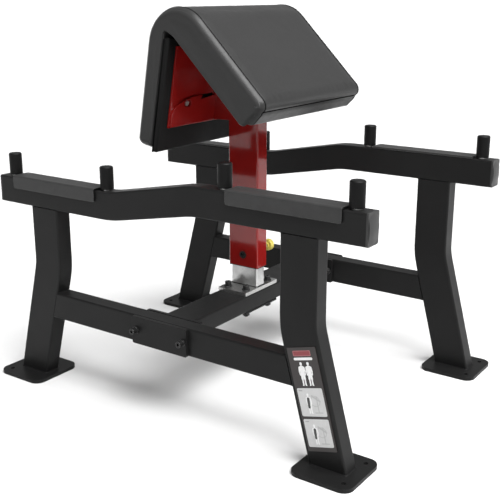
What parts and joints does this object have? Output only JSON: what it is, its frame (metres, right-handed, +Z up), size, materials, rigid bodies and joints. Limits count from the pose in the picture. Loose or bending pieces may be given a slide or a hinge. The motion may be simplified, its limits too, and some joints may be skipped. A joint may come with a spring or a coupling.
{
  "type": "standing biceps curl station",
  "caption": "Free-standing curl station: stepped side frames with bar rests, and a two-faced arm pad on a telescoping post.",
  "frame": {"origin": "on the floor, at the middle of the footprint", "axes": "+Z up; -Y towards the front, where the pad slopes away and the bar rests are higher; +X towards the side frame on the pull pin's side"},
  "size_m": [0.905, 1.189, 1.0608],
  "materials": {
    "frame_coat": "satin dark grey powder coat",
    "wear_steel": "satin grey plated wear plate with rubbed edges",
    "peg_plastic": "moulded black-grey nylon sleeve",
    "cap_plastic": "moulded grey end cap",
    "red_coat": "gloss red powder coat",
    "zinc": "bright zinc plate",
    "chrome": "polished chrome plate",
    "dark_fastener": "black oxide",
    "bush_plastic": "black nylon",
    "knob_plastic": "pale yellow moulded knob",
    "pad_vinyl": "grey upholstery vinyl over foam, fine grain",
    "board": "board wrapped in grey backing vinyl",
    "placard": "printed panel with blank pictograms"
  },
  "bodies": {
    "stand": {"backing_plate": "frame_coat", "base_bolts": "dark_fastener", "base_nuts": "dark_fastener", "base_plate": "zinc", "base_washers": "dark_fastener", "clamp_bolts": "dark_fastener", "clamp_nuts": "dark_fastener", "clamp_washers": "dark_fastener", "cross_beam": "frame_coat", "inner_post": "chrome", "inner_post_cap": "bush_plastic", "instruction_placard": "placard", "left_beam_end_caps": "cap_plastic", "left_clamp_plate": "frame_coat", "left_cross_beam_end_plate": "frame_coat", "left_front_foot_plate": "frame_coat", "left_front_leg": "frame_coat", "left_front_peg_sleeves": "peg_plastic", "left_front_wear_plate": "wear_steel", "left_lower_rail": "frame_coat", "left_rear_foot_plate": "frame_coat", "left_rear_leg": "frame_coat", "left_rear_peg_sleeves": "peg_plastic", "left_rear_wear_plate": "wear_steel", "left_top_beam": "frame_coat", "peg_studs": "zinc", "right_beam_end_caps": "cap_plastic", "right_clamp_plate": "frame_coat", "right_cross_beam_end_plate": "frame_coat", "right_front_foot_plate": "frame_coat", "right_front_leg": "frame_coat", "right_front_peg_sleeves": "peg_plastic", "right_front_wear_plate": "wear_steel", "right_lower_rail": "frame_coat", "right_rear_foot_plate": "frame_coat", "right_rear_leg": "frame_coat", "right_rear_peg_sleeves": "peg_plastic", "right_rear_wear_plate": "wear_steel", "right_top_beam": "frame_coat", "wear_plate_screws": "dark_fastener"},
    "pad_carriage": {"outer_post": "red_coat", "sight_hole_grommet": "bush_plastic", "lower_guide_bush": "bush_plastic", "upper_guide_bush": "bush_plastic", "pin_housing": "zinc", "pin_end_cap": "zinc", "pin_spring": "zinc", "left_bracket_gusset": "red_coat", "right_bracket_gusset": "red_coat", "left_bracket_crossbar": "red_coat", "right_bracket_crossbar": "red_coat", "rear_pad_plate": "red_coat", "front_pad_plate": "red_coat", "steep_pad_board": "board", "slope_pad_board": "board", "pad_screws": "zinc", "arm_pad": "pad_vinyl"},
    "pull_pin": {"pin_plunger": "zinc", "pin_knob": "knob_plastic"}
  },
  "joints": [
    {"name": "post_slide", "type": "slide", "parent": "stand", "child": "pad_carriage", "axis": [0, 0, 1], "range_m": [0, 0.2]},
    {"name": "pin_pull", "type": "slide", "parent": "pad_carriage", "child": "pull_pin", "axis": [1, 0, 0], "range_m": [-0.014, 0]}
  ]
}
